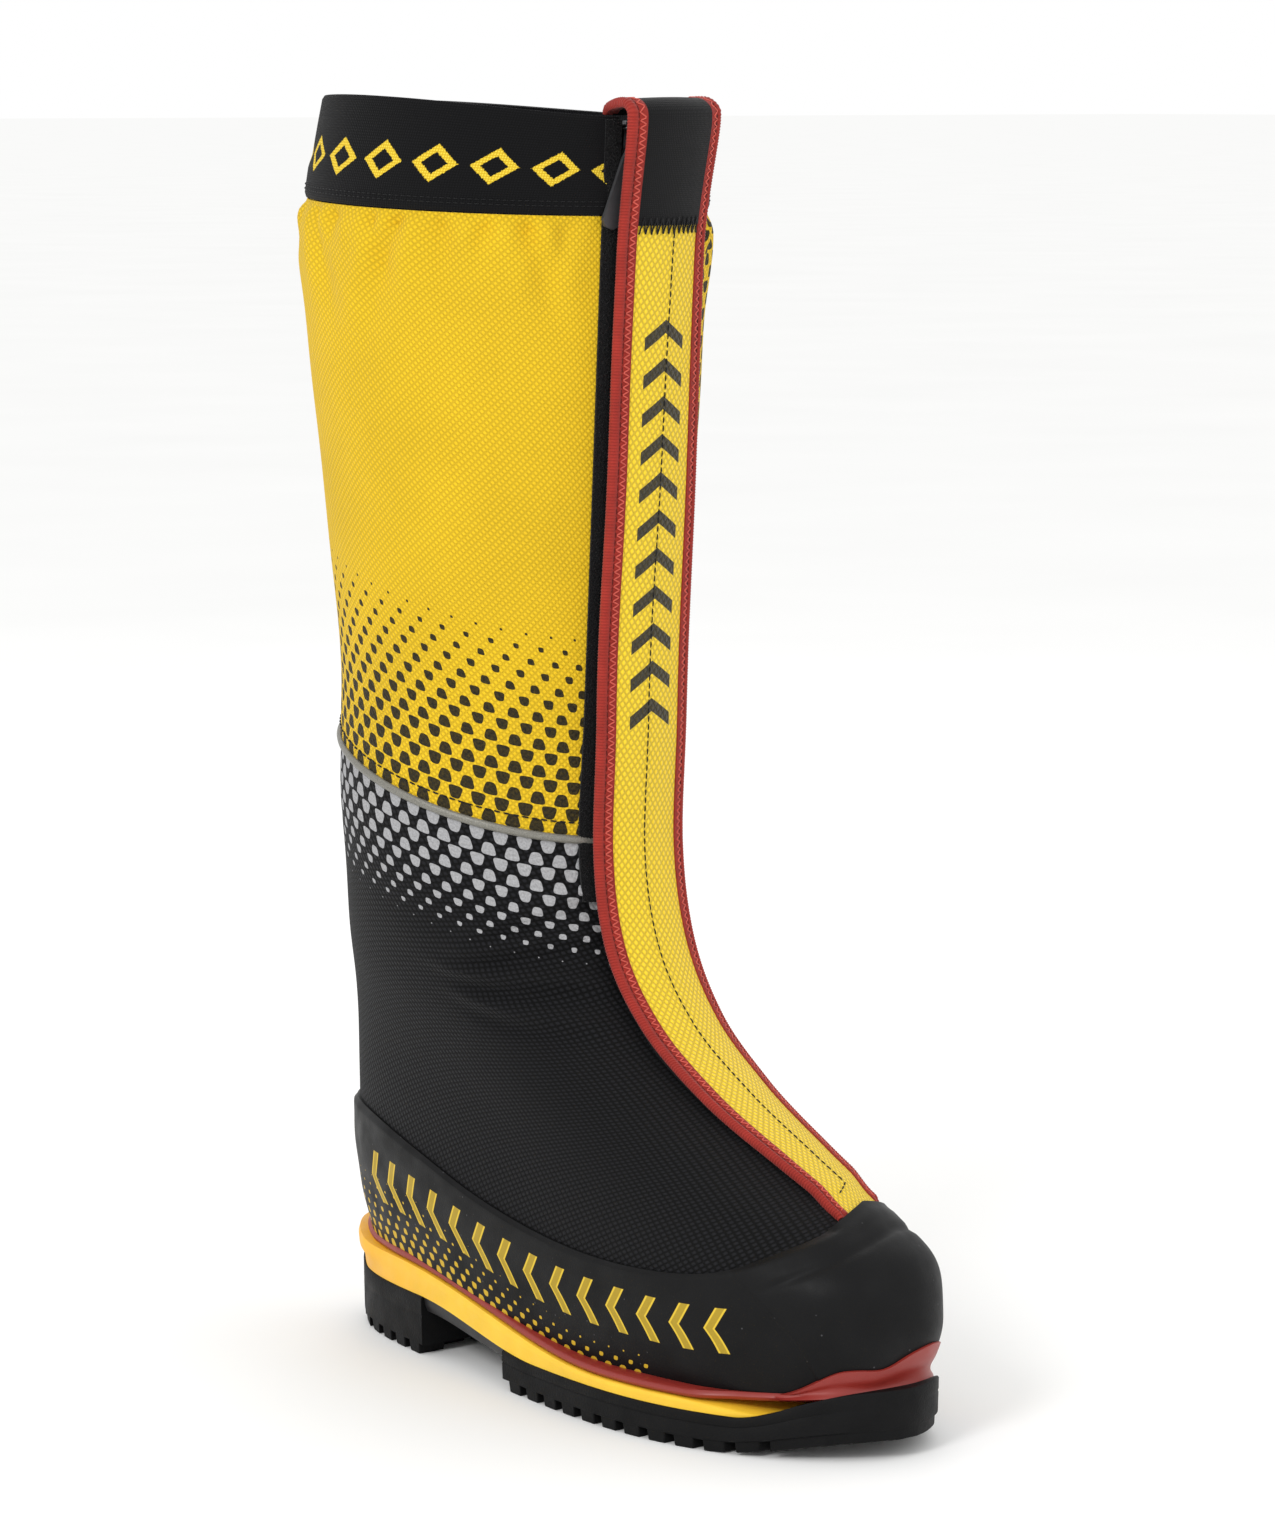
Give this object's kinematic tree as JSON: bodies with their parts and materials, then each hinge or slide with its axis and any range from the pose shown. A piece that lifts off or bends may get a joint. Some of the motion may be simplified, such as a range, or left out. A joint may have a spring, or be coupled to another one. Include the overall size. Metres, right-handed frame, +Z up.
{
  "type": "mountaineering boot",
  "caption": "High-altitude double mountaineering boot for the right foot with a knee-high insulated gaiter, front zip under a storm flap, rubber rand and crampon welts.",
  "frame": {"origin": "on the ground under the middle of the boot's bounding box", "axes": "+Z up the leg, the toe points to -Y, +X to the medial side of a right foot, so the outer side with the free edge of the flap faces -X"},
  "size_m": [0.1596, 0.3262, 0.513],
  "materials": {
    "tpu_frame": "moulded red thermoplastic urethane, satin",
    "tpu_welt": "moulded red thermoplastic urethane, satin",
    "midsole_foam": "moulded yellow polyurethane, matt",
    "outsole_rubber": "moulded black rubber, matt",
    "shank_cover": "moulded black plastic",
    "gaiter_black": "coarse black nylon weave",
    "gaiter_yellow": "yellow dotted nylon weave",
    "cuff_elastic": "black woven elastic",
    "piping": "grey reflective piping",
    "rand_rubber": "smooth black vulcanised rubber",
    "binding": "ribbed red edge binding",
    "neoprene": "black neoprene with a knit face",
    "hook_and_loop": "black fuzzy loop tape",
    "zip_tape": "black woven zip tape",
    "zip_chain": "black polyester coil",
    "zip_metal": "die-cast zinc",
    "pull_rubber": "moulded dark grey rubber",
    "shell_laminate": "insulated black laminate",
    "liner_foam": "felted foam liner",
    "carbon_board": "carbon fibre board",
    "footbed_felt": "grey felt footbed"
  },
  "bodies": {
    "boot": {"midsole_frame": "tpu_frame", "toe_welt": "tpu_welt", "midsole": "midsole_foam", "forefoot_outsole": "outsole_rubber", "heel_outsole": "outsole_rubber", "arch_plate": "shank_cover", "lower_gaiter": "gaiter_black", "upper_gaiter": "gaiter_yellow", "cuff_band": "cuff_elastic", "reflective_piping": "piping", "side_rand": "rand_rubber", "toe_cap": "rand_rubber", "flap_lower": "gaiter_yellow", "binding_lower_lateral": "binding", "binding_lower_medial": "binding", "flap_web": "gaiter_black", "loop_strip": "hook_and_loop", "zip_tape_lateral": "zip_tape", "zip_tape_medial": "zip_tape", "zip_chain_lateral": "zip_chain", "zip_chain_medial": "zip_chain", "zip_stop_lateral": "zip_metal", "zip_stop_medial": "zip_metal", "zip_stop_bottom": "zip_metal", "shell_boot": "shell_laminate", "inner_boot": "liner_foam", "inner_boot_sole": "liner_foam", "insole_board": "carbon_board", "footbed": "footbed_felt"},
    "storm_flap": {"flap_upper": "gaiter_yellow", "binding_upper_lateral": "binding", "binding_upper_medial": "binding", "collar_tab": "neoprene", "hook_strip": "hook_and_loop"},
    "slider": {"zip_slider": "zip_metal"},
    "pull": {"zip_pull": "pull_rubber"}
  },
  "joints": [
    {"name": "flap_hinge", "type": "hinge", "parent": "boot", "child": "storm_flap", "pos_m": [0.03156, 0.00126, 0.21578], "axis": [0.0152, -0.0324, 0.9994], "range_deg": [0, 140]},
    {"name": "zip_slide", "type": "slide", "parent": "boot", "child": "slider", "axis": [0.0155, -0.0369, 0.9992], "range_m": [-0.24, 0]},
    {"name": "pull_pivot", "type": "hinge", "parent": "slider", "child": "pull", "pos_m": [-0.00111, -0.00745, 0.497], "axis": [-0.0416, -0.9985, -0.0363], "range_deg": [-25, 30]}
  ]
}
